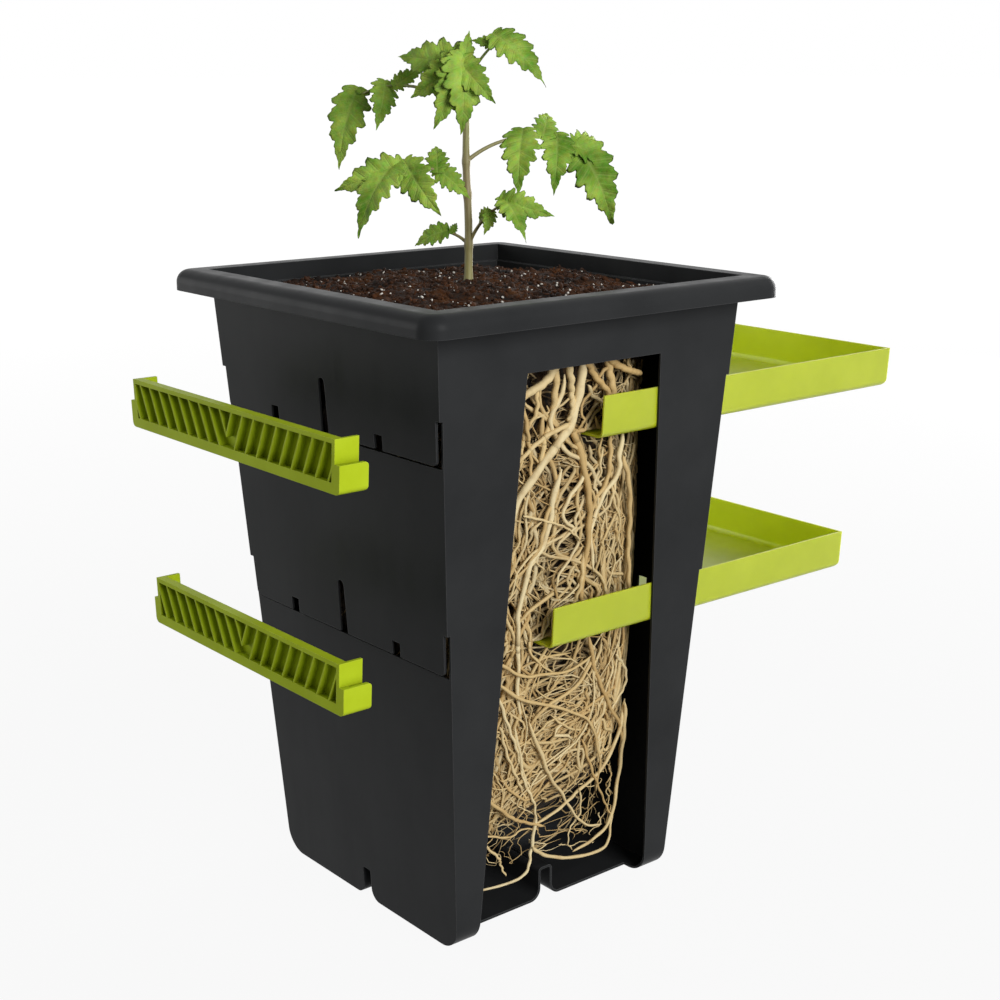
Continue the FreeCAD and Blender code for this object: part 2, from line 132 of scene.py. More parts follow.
edges, given, result = new_effect(
    "rubbed_and_highlit_edges",
    [("Radius", "Float", 0.0008)],
    [("Edge", "Float"), ("Normal", "Vector")],
)
# The Edge mask is 1 where the bevelled normal turns away from the face; it paints edges paler, partly as wear and
# partly as a painted highlight.
eased = put(edges, "Bevel", {"Radius": given["Radius"]}, samples=6).outputs["Normal"]
true_face = put(edges, "NewGeometry").outputs["Normal"]
facing = put(edges, "VectorMath", {0: eased, 1: true_face}, operation="DOT_PRODUCT").outputs["Value"]
feed(result, {"Edge": ranged(edges, facing, 1.0, 0.8), "Normal": eased})


def moulded_finish(name, deep, light, worn_and_highlit, gloss, mottle_scale, edge_radius, grain):
    """Moulded plastic: two tones of one colour by mottle, edges painted paler as wear and as a painted highlight,
    roughness between the gloss limits.
    """
    finish, tree, shader, where = blank_finish(name)
    surface = put(tree, "Group", {"Position": where, "Mottle Scale": mottle_scale}, node_tree=skin).outputs
    edge = put(tree, "Group", {"Radius": edge_radius}, node_tree=edges).outputs
    body = mixed(tree, ranged(tree, surface["Mottle"], 0.35, 0.65), tint(deep), tint(light))
    # Half the edge mask mixes in the pale edge colour: a painted highlight along the edges as well as wear.
    feed(shader, {
        "Base Color": mixed(tree, reckon(tree, "MULTIPLY", edge["Edge"], 0.5), body, tint(worn_and_highlit)),
        "Roughness": ranged(tree, surface["Rub"], 0.3, 0.7, *gloss),
        "Normal": bumped(tree, surface["Grain"], grain, 0.0002, Normal=edge["Normal"]),
    })
    return finish, shader


def dress(name, finish):
    """Puts a finish on a solid that is shown as it was cut."""
    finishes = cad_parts[name].data.materials
    finishes.clear()
    finishes.append(finish)


# Its pale edge colour 737475 is partly wear and partly a painted highlight along the edges.
black_plastic, shader = moulded_finish("black_pot_plastic", "292a2b", "2f3031", "737475",
                                       (0.3, 0.42), 14.0, 0.0008, 0.15)
feed(shader, {"Specular IOR Level": 0.045})
dress("pot_body", black_plastic)


# Trays. Two shallow troughs in lime green polypropylene, moulded with a smoother, glossier skin than the pot.
# Each slides through the slots on its own floor and side walls, so its faces are clean and its edges crisp.
# Its pale edge colour d6df74 is partly wear and partly a painted highlight along the edges.
lime_plastic, shader = moulded_finish("lime_plastic", "b6c322", "bfcc2c", "d6df74",
                                      (0.28, 0.38), 22.0, 0.0005, 0.06)
feed(shader, {"Subsurface Weight": 0.85, "Subsurface Radius": (1.0, 1.0, 0.15), "Subsurface Scale": 0.005})
for tray in ("upper_tray", "lower_tray"):
    dress(tray, lime_plastic)


# End caps. Ribbed lime mouldings that push on to a tray's open end: a shoe round its floor, cheeks inside its walls.
# The chevron ribs stand in a sunk panel, whose hollows are painted a deeper green by ambient occlusion: painted shade
# in the recesses.
# Its pale edge colour d2de62 is partly wear and partly a painted highlight along the edges.
cap_plastic, shader = moulded_finish("lime_cap_plastic", "b1c520", "bbd02b", "d2de62",
                                     (0.32, 0.44), 26.0, 0.0005, 0.08)
tree = cap_plastic.node_tree
outer = shader.inputs["Base Color"].links[0].from_socket
# Painted shade: where ambient occlusion within 7 mm finds the panel's hollows, the colour is mixed towards deep green
# 8d9c13.
painted_recess_shade = put(tree, "AmbientOcclusion", {"Distance": 0.007}, samples=6, only_local=True).outputs["AO"]
feed(shader, {"Base Color": mixed(tree, ranged(tree, painted_recess_shade, 0.9, 0.4), outer, tint("8d9c13")),
              "Specular IOR Level": 0.05})
for cap in ("upper_end_cap", "lower_end_cap"):
    dress(cap, cap_plastic)


# Soil. Dark potting mix, mounded a little to the stem and sunk along the walls, loose in the pot's mouth.
# It is peat crumbs and bark splinters with white perlite grains through it.
mm = 0.001
soil_half = 129.7
soil_reach = 130.55
soil_top = 444.0
soil_low = 403.6
soil_fall = 8.0
mound_wave = 96
soil_rows = 210


def build(name, points, polygon_sets, values=None, around=None, finish_of=None, finishes=()):
    """A mesh object from points in mm and arrays of polygon corners; faces are turned outwards by signed volume.

    values are named numbers per point, around is a (u, v) per point, finish_of a finish number per polygon.
    """
    fan = np.concatenate([np.stack([p[:, 0], p[:, k], p[:, k + 1]], 1)
                          for p in polygon_sets for k in range(1, p.shape[1] - 1)])
    a, b, c = points[fan[:, 0]], points[fan[:, 1]], points[fan[:, 2]]
    if np.einsum("ij,ij->i", a, np.cross(b, c)).sum() < 0:
        polygon_sets = [p[:, ::-1] for p in polygon_sets]
    corners = np.concatenate([p.ravel() for p in polygon_sets]).astype(np.int32)
    sizes = np.concatenate([np.full(len(p), p.shape[1]) for p in polygon_sets])
    mesh = bpy.data.meshes.new(name)
    mesh.vertices.add(len(points))
    mesh.vertices.foreach_set("co", (points * mm).astype(np.float32).ravel())
    mesh.loops.add(len(corners))
    mesh.loops.foreach_set("vertex_index", corners)
    mesh.polygons.add(len(sizes))
    mesh.polygons.foreach_set("loop_start", np.concatenate([[0], np.cumsum(sizes)[:-1]]).astype(np.int32))
    mesh.polygons.foreach_set("use_smooth", np.ones(len(sizes), bool))
    for title, numbers in (values or {}).items():
        mesh.attributes.new(title, "FLOAT", "POINT").data.foreach_set("value", numbers.astype(np.float32).ravel())
    if around is not None:
        layer = mesh.uv_layers.new(name="along")
        layer.data.foreach_set("uv", around[corners].astype(np.float32).ravel())
    for finish in finishes:
        mesh.materials.append(finish)
    if finish_of is not None:
        mesh.polygons.foreach_set("material_index", finish_of.astype(np.int32))
    mesh.update(calc_edges=True)
    mesh.validate()
    piece = bpy.data.objects.new(name, mesh)
    bpy.context.scene.collection.objects.link(piece)
    return piece


def rolling(x, y, cell, seed):
    """Smooth value noise from -1 to 1: random heights on a square lattice of this cell, blended by 3t^2 - 2t^3."""
    lattice = np.random.default_rng(seed).uniform(-1, 1, (256, 256))
    u, v = x / cell + 100, y / cell + 100
    i, j = np.floor(u).astype(int), np.floor(v).astype(int)
    s, t = u - i, v - j
    s, t = s * s * (3 - 2 * s), t * t * (3 - 2 * t)
    i, j = i % 255, j % 255
    low = lattice[i, j] * (1 - s) + lattice[i + 1, j] * s
    high = lattice[i, j + 1] * (1 - s) + lattice[i + 1, j + 1] * s
    return low * (1 - t) + high * t


def soil_height(x, y):
    """Top of the soil: a dome that falls by the square of the way out, mounds half a wave apart, lumps and crumbs.

    The mounds fade out at the stem by 1 - exp(-(out / 0.35)^4). Lumps and crumbs are rolling noise of three sizes.
    """
    out = np.hypot(x, y) / soil_reach
    waves = np.sin(2 * math.pi * (x + 0.3 * y) / mound_wave) * np.cos(2 * math.pi * (y - 0.2 * x) / mound_wave)
    mounds = 2.6 * (1 - np.exp(-((out / 0.35) ** 4))) * waves
    lumps = 1.3 * rolling(x, y, 13, 2) + 1.5 * np.abs(rolling(x, y, 5.5, 3)) + 0.8 * np.abs(rolling(x, y, 2.6, 4))
    return soil_top - soil_fall * out**2 + mounds + lumps - 1.2


line = np.linspace(-soil_half, soil_half, soil_rows)
gx, gy = np.meshgrid(line, line, indexing="ij")
top = np.stack([gx, gy, soil_height(gx, gy)], -1).reshape(-1, 3)
index = np.arange(soil_rows * soil_rows).reshape(soil_rows, soil_rows)
quads = np.stack([index[:-1, :-1], index[1:, :-1], index[1:, 1:], index[:-1, 1:]], -1).reshape(-1, 4)
border = np.concatenate([index[:-1, 0], index[-1, :-1], index[:0:-1, -1], index[0, :0:-1]])
foot = top[border].copy()
foot[:, 2] = soil_low
foot_index = soil_rows * soil_rows + np.arange(len(border))
skirt = np.stack([border, foot_index, np.roll(foot_index, -1), np.roll(border, -1)], 1)
soil_points = np.concatenate([top, foot])


def ramp(tree, value, stops):
    """Colour of a ramp through (position, hex code) stops."""
    made = put(tree, "ValToRGB", {"Fac": value})
    elements = made.color_ramp.elements
    elements[0].position, elements[0].color = stops[0][0], tint(stops[0][1])
    elements[1].position, elements[1].color = stops[-1][0], tint(stops[-1][1])
    for position, code in stops[1:-1]:
        elements.new(position).color = tint(code)
    return made.outputs["Color"]


soil_mix, tree, shader, where = blank_finish("potting_mix")
patch = noise(tree, where, 45.0, 5.0, 0.62)
fibre = noise(tree, where, 420.0, 3.0, 0.7)
peat = ramp(tree, patch, [(0.36, "0d0907"), (0.52, "2c1a0f"), (0.68, "4c2d13")])
flecked = mixed(tree, 1.0, peat, ranged(tree, fibre, 0.35, 0.7, 0.5, 1.7), "MULTIPLY")
crumb_tone = put(tree, "Attribute", attribute_name="tone").outputs["Fac"]
feed(shader, {
    "Base Color": mixed(tree, crumb_tone, flecked, tint("55321b")),
    "Roughness": ranged(tree, fibre, 0.0, 1.0, 0.62, 0.95),
    "Normal": bumped(tree, fibre, 0.6, 0.0008),
    "Specular IOR Level": 0.15,
})

soil_bed = build("soil_bed", soil_points, [quads, skirt, foot_index[::-1][None, :]],
                 {"tone": np.zeros(len(soil_points))}, finishes=[soil_mix])
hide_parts("soil")
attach(soil_bed, "pot")


def grains(seed, number, size, stretch, sink, reach):
    """Scattered grains: 12-point icosahedra, each stretched along a random direction and sunk into the soil's top.

    size and stretch are limits, sink is the centre's height above the soil in radii, reach the half width covered.
    """
    rng = np.random.default_rng(seed)
    g = (1 + 5**0.5) / 2
    ico = np.array([(-1, g, 0), (1, g, 0), (-1, -g, 0), (1, -g, 0), (0, -1, g), (0, 1, g),
                    (0, -1, -g), (0, 1, -g), (g, 0, -1), (g, 0, 1), (-g, 0, -1), (-g, 0, 1)]) / 1.9
    tri = np.array([(0, 11, 5), (0, 5, 1), (0, 1, 7), (0, 7, 10), (0, 10, 11), (1, 5, 9), (5, 11, 4), (11, 10, 2),
                    (10, 7, 6), (7, 1, 8), (3, 9, 4), (3, 4, 2), (3, 2, 6), (3, 6, 8), (3, 8, 9), (4, 9, 5),
                    (2, 4, 11), (6, 2, 10), (8, 6, 7), (9, 8, 1)])
    radius = size[0] * (size[1] / size[0]) ** rng.uniform(0, 1, number) ** 1.6
    axes = rng.normal(size=(number, 3)) * (1, 1, 0.5)
    axes /= np.linalg.norm(axes, axis=1, keepdims=True)
    shape = ico[None] * rng.uniform(0.72, 1.15, (number, 12, 1)) * radius[:, None, None]
    along = np.einsum("nij,nj->ni", shape, axes)[..., None] * axes[:, None, :]
    shape = shape + along * (rng.uniform(*stretch, number)[:, None, None] - 1)
    x, y = rng.uniform(-reach, reach, (2, number))
    place = np.stack([x, y, soil_height(x, y) + radius * sink], 1)
    points = (shape + place[:, None, :]).reshape(-1, 3)
    faces = (tri[None] + 12 * np.arange(number)[:, None, None]).reshape(-1, 3)
    return points, faces, np.repeat(rng.uniform(0, 1, number), 12)


points, faces, tone = grains(11, 6400, (0.4, 2.3), (1.0, 2.6), 0.05, 127)
crumbs = build("soil_crumbs", points, [faces], {"tone": 0.55 * tone**2}, finishes=[soil_mix])
points, faces, tone = grains(12, 380, (0.45, 0.85), (2.5, 6.5), 0.8, 124)
splinters = build("bark_splinters", points, [faces], {"tone": 0.25 + 0.75 * tone}, finishes=[soil_mix])

perlite, tree, shader, where = blank_finish("perlite")
pits = noise(tree, where, 1500.0, 3.0)
feed(shader, {"Base Color": mixed(tree, pits, tint("cfc8bc"), tint("f4f1ea")), "Roughness": 0.75,
              "Normal": bumped(tree, pits, 0.5, 0.0003)})
points, faces, _ = grains(13, 400, (0.35, 1.0), (1.0, 2.2), 1.1, 126)
perlite_grains = build("perlite_grains", points, [faces], finishes=[perlite])
for piece in (crumbs, splinters, perlite_grains):
    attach(piece, "pot")


# Roots. The plant's own roots fill the pot: thick pale mains come down from the crown and fork, thinner laterals
# weave between them, and at the bottom loose ends curl round the base. A dark peaty core shows through the gaps.
wall_draft = 0.0625
round_share = 0.95
root_top = 402.0
core_rows, core_sides = 48, 96

# Each tray's floor: its underside, its upper side and where its open end is at rest.
tray_floors = ((349.55, 351.15, 11.5), (206.55, 208.15, -23.5))
tray_room = 0.6
root_room = 0.8
open_end_room = 4


def root_half(z):
    """Half width of the root ball: follows the pot's drafted front wall, 14 mm inside it."""
    return 88.8 + wall_draft * np.maximum(z, 70)


def root_face(q, z, depth):
    """Point on the root ball q mm round from the middle of its front: |x/h|^n + |y/h|^n = 1, squarer lower down."""
    power = 2 / (2.4 + 0.8 * np.clip((400 - z) / 200, 0, 1))
    half = root_half(z)
    turn = q / (round_share * half) - math.pi / 2
    reach = half - depth
    x = reach * np.sign(np.cos(turn)) * np.abs(np.cos(turn)) ** power
    y = reach * np.sign(np.sin(turn)) * np.abs(np.sin(turn)) ** power
    return np.stack([x, y, z + 0 * x], -1)


def strands(paths, radii, sides):
    """Rings of tubes round a stack of paths: centre + r (cos v side + sin v lift), side square to path and face."""
    run = np.gradient(paths, axis=1)
    run /= np.linalg.norm(run, axis=2, keepdims=True) + 1e-9
    out = np.concatenate([paths[..., :2], 0 * paths[..., 2:]], -1)
    out /= np.linalg.norm(out, axis=2, keepdims=True) + 1e-9
    side = np.cross(run, out + 0.31 * np.array([0, 0, 1.0]))
    side /= np.linalg.norm(side, axis=2, keepdims=True) + 1e-9
    lift = np.cross(side, run)
    v = 2 * math.pi * np.arange(sides) / sides
    ring = np.cos(v)[:, None] * side[:, :, None, :] + np.sin(v)[:, None] * lift[:, :, None, :]
    return paths[:, :, None, :] + radii[:, :, None, None] * ring


def closed_runs(shape, taken):
    """Polygons of the tubes' taken segments, capped where a run of them begins or ends, and the points they use."""
    index = np.arange(np.prod(shape)).reshape(shape)
    onward = np.roll(index, -1, axis=2)
    quads = np.stack([index[:, :-1], index[:, 1:], onward[:, 1:], onward[:, :-1]], -1)[taken].reshape(-1, 4)
    bound = np.pad(taken, ((0, 0), (1, 1)))
    begins, stops = ~bound[:, :-1] & bound[:, 1:], bound[:, :-1] & ~bound[:, 1:]
    ends = np.concatenate([index[begins], index[stops][:, ::-1]])
    used = np.unique(quads)
    return used, [np.searchsorted(used, quads), np.searchsorted(used, ends)]


def wrapped(rows, sides):
    """Polygons of one closed tube of this many rows and sides: its quads and its two end caps."""
    index = np.arange(rows * sides).reshape(rows, sides)
    onward = np.roll(index, -1, axis=1)
    quads = np.stack([index[:-1], onward[:-1], onward[1:], index[1:]], -1).reshape(-1, 4)
    return quads, (index[:1, ::-1], index[-1:])


def keep_off_trays(paths, radii):
    """A root that meets a tray's floor runs along it: its height is held above or below, by where it starts."""
    z = paths[..., 2]
    room = radii.max(1) + root_room
    for low, high, start in tray_floors:
        near = (z > low - room[:, None]) & (z < high + room[:, None]) & (paths[..., 0] > start - open_end_room)
        held = near.any(1)
        above = z[:, 0] > (low + high) / 2
        z = np.where((held & above)[:, None], np.maximum(z, (high + room)[:, None]), z)
        z = np.where((held & ~above)[:, None], np.minimum(z, (low - room)[:, None]), z)
    return np.concatenate([paths[..., :2], z[..., None]], -1)


def wander(seed, number, steps, start, length, slant, depth, sway, turn):
    """Root paths (q, z, depth): slanting falls swayed by three sine waves, which turn up again off the base.

    start, length and depth are limits; turn is the limits of the lowest height and its rise across the front.
    """
    rng = np.random.default_rng(seed)
    p = np.linspace(0, 1, steps)[None, :]

    def each(low, high):
        return rng.uniform(low, high, (number, 1))

    long = each(*length)
    lean = rng.normal(0, slant, (number, 1))
    q = each(*start[0]) + np.sin(lean) * long * p
    z = each(*start[1]) - np.cos(lean) * long * p
    for waves, share in ((1.1, 1.0), (2.7, 0.4), (6.1, 0.12)):
        swing = sway * share * long / 100
        q = q + swing * np.sin(2 * math.pi * waves * each(0.7, 1.3) * p + each(0, 6.28))
        z = z + 0.5 * swing * np.sin(2 * math.pi * waves * each(0.7, 1.3) * p + each(0, 6.28))
    d = each(*depth) + 1.5 * np.sin(2 * math.pi * each(0.8, 2.2) * p + each(0, 6.28))
    lowest = each(*turn[:2]) + turn[2] * np.clip(q + 70, 0, 140)
    z = np.minimum(lowest + np.sqrt((z - lowest) ** 2 + 40) - 3, root_top)
    return q, z, np.maximum(d, 0.0), p


def taper(thick, p, tip):
    """Radius along a root: thick at the start, tip times that at the far end, rounded off to a point at both ends."""
    blunt = np.clip(np.minimum(p, 1 - p) * 18, 0.06, 1) ** 0.5
    return thick * (1 - (1 - tip) * p) * blunt


root_skin, tree, shader, where = blank_finish("root_skin")
strand_tone = put(tree, "Attribute", attribute_name="tone").outputs["Fac"]
depth_shade = put(tree, "Attribute", attribute_name="depth").outputs["Fac"]
spots = noise(tree, where, 130.0, 4.0, 0.6)
hair = noise(tree, where, 900.0, 2.0)
pale = ramp(tree, strand_tone, [(0.0, "c6a66e"), (0.5, "dac08a"), (1.0, "e8d6a9")])
stained = mixed(tree, ranged(tree, spots, 0.5, 0.75, 0.0, 0.45), pale, tint("b08a50"))
# Painted shade: strands are darker the deeper they sit in the ball, mixed towards dark brown 4d351a by their depth.
feed(shader, {
    "Base Color": mixed(tree, depth_shade, stained, tint("4d351a")),
    "Roughness": ranged(tree, spots, 0.0, 1.0, 0.5, 0.8),
    "Normal": bumped(tree, hair, 0.35, 0.0004),
    "Specular IOR Level": 0.3,
})


def root_piece(name, paths, radii, sides, depth, seed):
    """One layer of roots as a piece, with a tone for each root and its depth in the ball from 0 to 1, by which deeper
    strands get painted shade.

    The stretches that cross a tray's floor are pieces of their own, each with its own copy of its mesh.
    """
    rings = strands(keep_off_trays(paths, radii), radii, sides)
    many, steps = radii.shape
    tone = np.random.default_rng(seed).uniform(0, 1, (many, 1, 1)) * np.ones((1, steps, sides))
    sunk = np.clip(np.broadcast_to(depth, (many, steps)), 0, 1)[..., None] * np.ones((1, 1, sides))
    under, over = rings[..., 2].min(2), rings[..., 2].max(2)
    under, over = np.minimum(under[:, :-1], under[:, 1:]), np.maximum(over[:, :-1], over[:, 1:])
    crossing = [(under < high + tray_room) & (over > low - tray_room) for low, high, _ in tray_floors]
    free = ~(crossing[0] | crossing[1])
    for part, taken, tray in ((name, free, None), (name + "_past_upper_tray", crossing[0], 0),
                              (name + "_past_lower_tray", crossing[1], 1)):
        if not taken.any():
            continue
        used, polygons = closed_runs(rings.shape[:3], taken)
        piece = build(part, rings.reshape(-1, 3)[used], polygons,
                      {"tone": tone.ravel()[used], "depth": sunk.ravel()[used]}, finishes=[root_skin])
        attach(piece, "pot")
        if tray is not None:
            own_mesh(piece)


def through(points, steps):
    """Smooth path through given points: Catmull-Rom cubics, evenly spaced in their parameter."""
    c = np.array(points, float)
    c = np.concatenate([2 * c[:1] - c[1:2], c, 2 * c[-1:] - c[-2:-1]])
    t = np.linspace(0, len(points) - 1, steps)
    i = np.minimum(t.astype(int), len(points) - 2)
    s = (t - i)[:, None]
    a, b, d, e = c[i], c[i + 1], c[i + 2], c[i + 3]
    return 0.5 * (2 * b + (d - a) * s + (2 * a - 5 * b + 4 * d - e) * s**2 + (3 * b - a - 3 * d + e) * s**3)


# Each leading root: radius at its start, share of it left at the tip, depth, then (x, z) points down the front.
# They lie on the front of a squarish ball, |x/h|^4 + |y/h|^4 = 1, and waver a little in depth and sideways.
leading = [
    (3.3, 0.75, 0, [(2, 402), (3, 386), (-1, 372), (-6, 359), (-17, 349), (-28, 337), (-44, 318), (-52, 300),
                    (-58, 270)]),
    (2.6, 0.55, 0, [(-5, 362), (7, 335), (14, 308), (16, 291), (17, 267), (14, 240), (18, 214)]),
    (3.0, 0.8, 1, [(-18, 402), (-31, 391), (-46, 383), (-60, 372)]),
    (2.4, 0.7, 2, [(-19, 402), (-20, 380), (-20, 365), (-27, 350), (-30, 330)]),
    (2.6, 0.6, 1, [(-11, 402), (-5, 385), (-4, 372), (-7, 362)]),
    (2.4, 0.7, 1, [(6, 402), (16, 390), (27, 378), (36, 362)]),
    (2.8, 0.7, 0, [(25, 402), (42, 392), (62, 386)]),
    (1.7, 0.7, 2, [(35, 346), (36, 331), (32, 314), (23, 302), (21, 285), (26, 262)]),
    (2.0, 0.6, 1, [(47, 346), (43, 330), (42, 319), (30, 305), (24, 290), (20, 276), (24, 250)]),
    (1.9, 0.8, 1, [(47, 330), (54, 309), (61, 278), (61, 253), (63, 225)]),
    (1.8, 0.7, 0, [(-7, 361), (-25, 355), (-48, 341), (-62, 330)]),
    (2.2, 0.6, 1, [(-12, 330), (-18, 307), (-18, 293), (-24, 276), (-34, 264), (-42, 236), (-43, 221), (-41, 198),
                   (-40, 179), (-35, 150)]),
    (1.0, 0.6, -1, [(-44, 303), (-22, 295), (-6, 288), (10, 276)]),
    (2.8, 0.8, 2, [(28, 402), (31, 386), (34, 370), (34, 354)]),
    (1.5, 0.7, 2, [(-34, 390), (-35, 373), (-42, 358), (-46, 335)]),
    (1.6, 0.6, 1, [(-47, 380), (-42, 357), (-37, 339), (-40, 316)]),
    (1.3, 0.7, -1, [(-62, 203), (-38, 187), (-18, 183), (3, 181), (26, 187)]),
    (1.4, 0.6, -1, [(-62, 188), (-37, 169), (-16, 160), (11, 147), (28, 135), (35, 118), (41, 98), (40, 76)]),
    (1.6, 0.6, 0, [(22, 204), (30, 179), (39, 161), (50, 140), (64, 120), (71, 101), (72, 84)]),
    (1.2, 0.6, 1, [(54, 180), (68, 165), (67, 148), (54, 136)]),
    (1.3, 0.6, 0, [(-55, 175), (-46, 147), (-36, 124), (-30, 100)]),
    (1.5, 0.7, 1, [(15, 266), (12, 242), (9, 226), (16, 209)]),
    (1.5, 0.7, 0, [(70, 140), (60, 113), (42, 91), (24, 82), (13, 77), (-3, 72), (-20, 68)]),
    (1.7, 0.6, -1, [(66, 140), (70, 111), (71, 79), (58, 50), (38, 40), (17, 35)]),
    (1.5, 0.6, -1, [(-23, 52), (-13, 43), (5, 34), (27, 29), (50, 29), (57, 39), (62, 52)]),
    (1.4, 0.6, -1, [(-19, 76), (-21, 55), (-24, 45), (-27, 37), (-34, 31), (-50, 29), (-68, 29)]),
    (1.1, 0.7, -1, [(-66, 68), (-54, 54), (-50, 47), (-46, 36)]),
    (1.5, 0.7, -1, [(-66, 103), (-44, 82), (-32, 74), (-12, 65)]),
    (1.5, 0.5, -1, [(-30, 150), (-16, 118), (-8, 102), (6, 84), (16, 68), (28, 54), (46, 48)]),
    (0.8, 0.5, 0, [(22, 84), (24, 65), (19, 57), (14, 52), (12, 43), (18, 36)]),
    (1.3, 0.6, 0, [(-43, 150), (-29, 104), (-21, 83), (-19, 62)]),
    (1.2, 0.6, 1, [(-53, 152), (-40, 114), (-25, 86)]),
    (0.9, 0.6, 0, [(-62, 70), (-44, 65), (-32, 67), (-16, 63)]),
    (1.1, 0.6, 0, [(24, 122), (35, 92), (52, 63), (60, 47)]),
]
steps = 44
p = np.linspace(0, 1, steps)[None, :]
order = np.arange(len(leading))[:, None]
thick, tip, sunk = (np.array(column)[:, None] for column in list(zip(*leading))[:3])
flat = np.stack([through(route, steps) for *_, route in leading])
half = root_half(flat[..., 1]) - (sunk + 1.2 * np.sin(9 * p + order))
front = -half * (1 - np.clip(np.abs(flat[..., 0]) / half, 0, 0.98) ** 4.0) ** 0.25
wobble = 0.5 * np.sin(38 * p + 3 * order)
paths = np.stack([flat[..., 0] + wobble, front, flat[..., 1]], -1)
radii = taper(thick, p, tip) * (1 + 0.08 * np.sin(47 * p + order))
root_piece("leading_roots", paths, radii, 9, 0 * radii, 31)

# Each finer layer: seeds of its paths, radii and tones; number, points on each, start round the front and in height,
# length, slant, depth, sway, lowest height and its rise; radius, share left at the tip, sides, depth at which the
# painted shade is full.
all_round, off_base = ((-106, 118), (75, 402)), (48, 86, 0.42)
layers = {
    "main_roots": ((21, 22, 32), (190, 36, ((-104, 116), (130, 402)), (80, 220), 0.28, (0.5, 6), 4.5, off_base),
                   (0.8, 1.9), 0.55, 7, 18),
    "lateral_roots": ((23, 24, 33), (760, 20, all_round, (45, 130), 0.6, (1, 10), 7.0, off_base),
                      (0.7, 1.65), 0.5, 5, 13),
    "fine_roots": ((25, 26, 34), (1000, 10, all_round, (20, 60), 1.0, (1, 12), 12.0, off_base),
                   (0.35, 0.75), 0.5, 4, 13),
    "loose_root_ends": ((27, 28, 35), (84, 18, ((-75, 60), (45, 125)), (20, 60), 0.8, (0, 14), 11.0, (29, 44, 0.0)),
                        (0.35, 0.75), 0.4, 5, 24),
}
# Each strand's depth over the layer's last column sets its painted shade, which is full at that depth.
for name, ((path_seed, radius_seed, tone_seed), course, radius, tip, sides, full_shade_depth) in layers.items():
    q, z, d, p = wander(path_seed, *course)
    thick = np.random.default_rng(radius_seed).uniform(*radius, (course[0], 1))
    root_piece(name, root_face(q, z, d), taper(thick, p, tip), sides, d / full_shade_depth, tone_seed)

core_skin, tree, shader, where = blank_finish("peaty_root_core")
matted = put(tree, "Mapping", {"Vector": where, "Scale": (1.0, 1.0, 0.3)}).outputs["Vector"]
mat = noise(tree, matted, 260.0, 5.0, 0.7)
feed(shader, {"Base Color": ramp(tree, mat, [(0.42, "0d0805"), (0.74, "5b4122")]), "Roughness": 0.9,
              "Normal": bumped(tree, mat, 0.8, 0.002)})

# Each core lies 13 mm inside the roots' face, draws in by up to 46 mm more near the base, and rolls by 2.5 mm.
for node, low, high in (("root_ball_top", 351.6, 402.8), ("root_ball_middle", 208.6, 349.1),
                        ("root_ball_bottom", 40.0, 206.1)):
    rows = np.linspace(low, high, core_rows)[:, None]
    v = np.linspace(0, 2 * math.pi, core_sides, endpoint=False)[None, :]
    shrink = 13 + 46 * np.clip((92 - rows) / 52, 0, 1) ** 2 + 2.5 * rolling(v * 60, rows, 9, 41)
    core = root_face((v + math.pi / 2) * round_share * root_half(rows), rows, shrink)
    quads, caps = wrapped(core_rows, core_sides)
    piece = build(node.replace("ball", "core"), core.reshape(-1, 3), [quads, *caps], finishes=[core_skin])
    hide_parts(node)
    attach(piece, "pot")


# Stem. One soft green shoot, purplish brown where the sun reaches it, swollen a little where each leaf joins.
# It stands in the soil on the pot's axis and leans over at its tip.
view_heading = -39.6
view_right = np.array([math.cos(math.radians(view_heading)), math.sin(math.radians(view_heading)), 0.0])
up = np.array([0.0, 0.0, 1.0])
stem_height = 150.0
joints_at = np.array([25, 60, 82, 115, 128, 142])


def stem_at(rise):
    """Centre and radius of the stem at heights above the soil: a sway and a lean across the view, thinner upwards."""
    t = np.atleast_1d(rise) / stem_height
    offset = -2.3 - 6.0 * t**4 + 1.5 * np.sin(3 * math.pi * t) * t
    radius = 2.8 - 1.5 * np.clip(t, 0, 1) ** 3
    return offset[:, None] * view_right + (soil_top + np.atleast_1d(rise))[:, None] * up, radius


def tube(path, radius, across, sides):
    """Points, quads and end caps of a tube round a path: centre + r (cos v side + sin v lift), both square to it."""
    run = np.gradient(path, axis=0)
    run /= np.linalg.norm(run, axis=1, keepdims=True)
    side = across - run * (run @ across)[:, None]
    side /= np.linalg.norm(side, axis=1, keepdims=True)
    lift = np.cross(run, side)
    v = 2 * math.pi * np.arange(sides)[:, None] / sides
    points = path[:, None] + radius[:, None, None] * (np.cos(v) * side[:, None] + np.sin(v) * lift[:, None])
    return points.reshape(-1, 3), *wrapped(len(path), sides)


stem_skin, tree, shader, where = blank_finish("stem_skin")
lines = put(tree, "Mapping", {"Vector": where, "Scale": (1.0, 1.0, 0.12)}).outputs["Vector"]
ribs = noise(tree, lines, 700.0, 3.0)
height = put(tree, "SeparateXYZ", {"Vector": where}).outputs["Z"]
green = ramp(tree, ranged(tree, height, 0.44, 0.6), [(0.0, "8b8750"), (0.45, "857852"), (1.0, "86974a")])
feed(shader, {
    "Base Color": mixed(tree, ranged(tree, ribs, 0.45, 0.7, 0.0, 0.55), green, tint("6f5c44")),
    "Roughness": ranged(tree, ribs, 0.0, 1.0, 0.4, 0.65),
    "Normal": bumped(tree, ribs, 0.4, 0.0003),
})

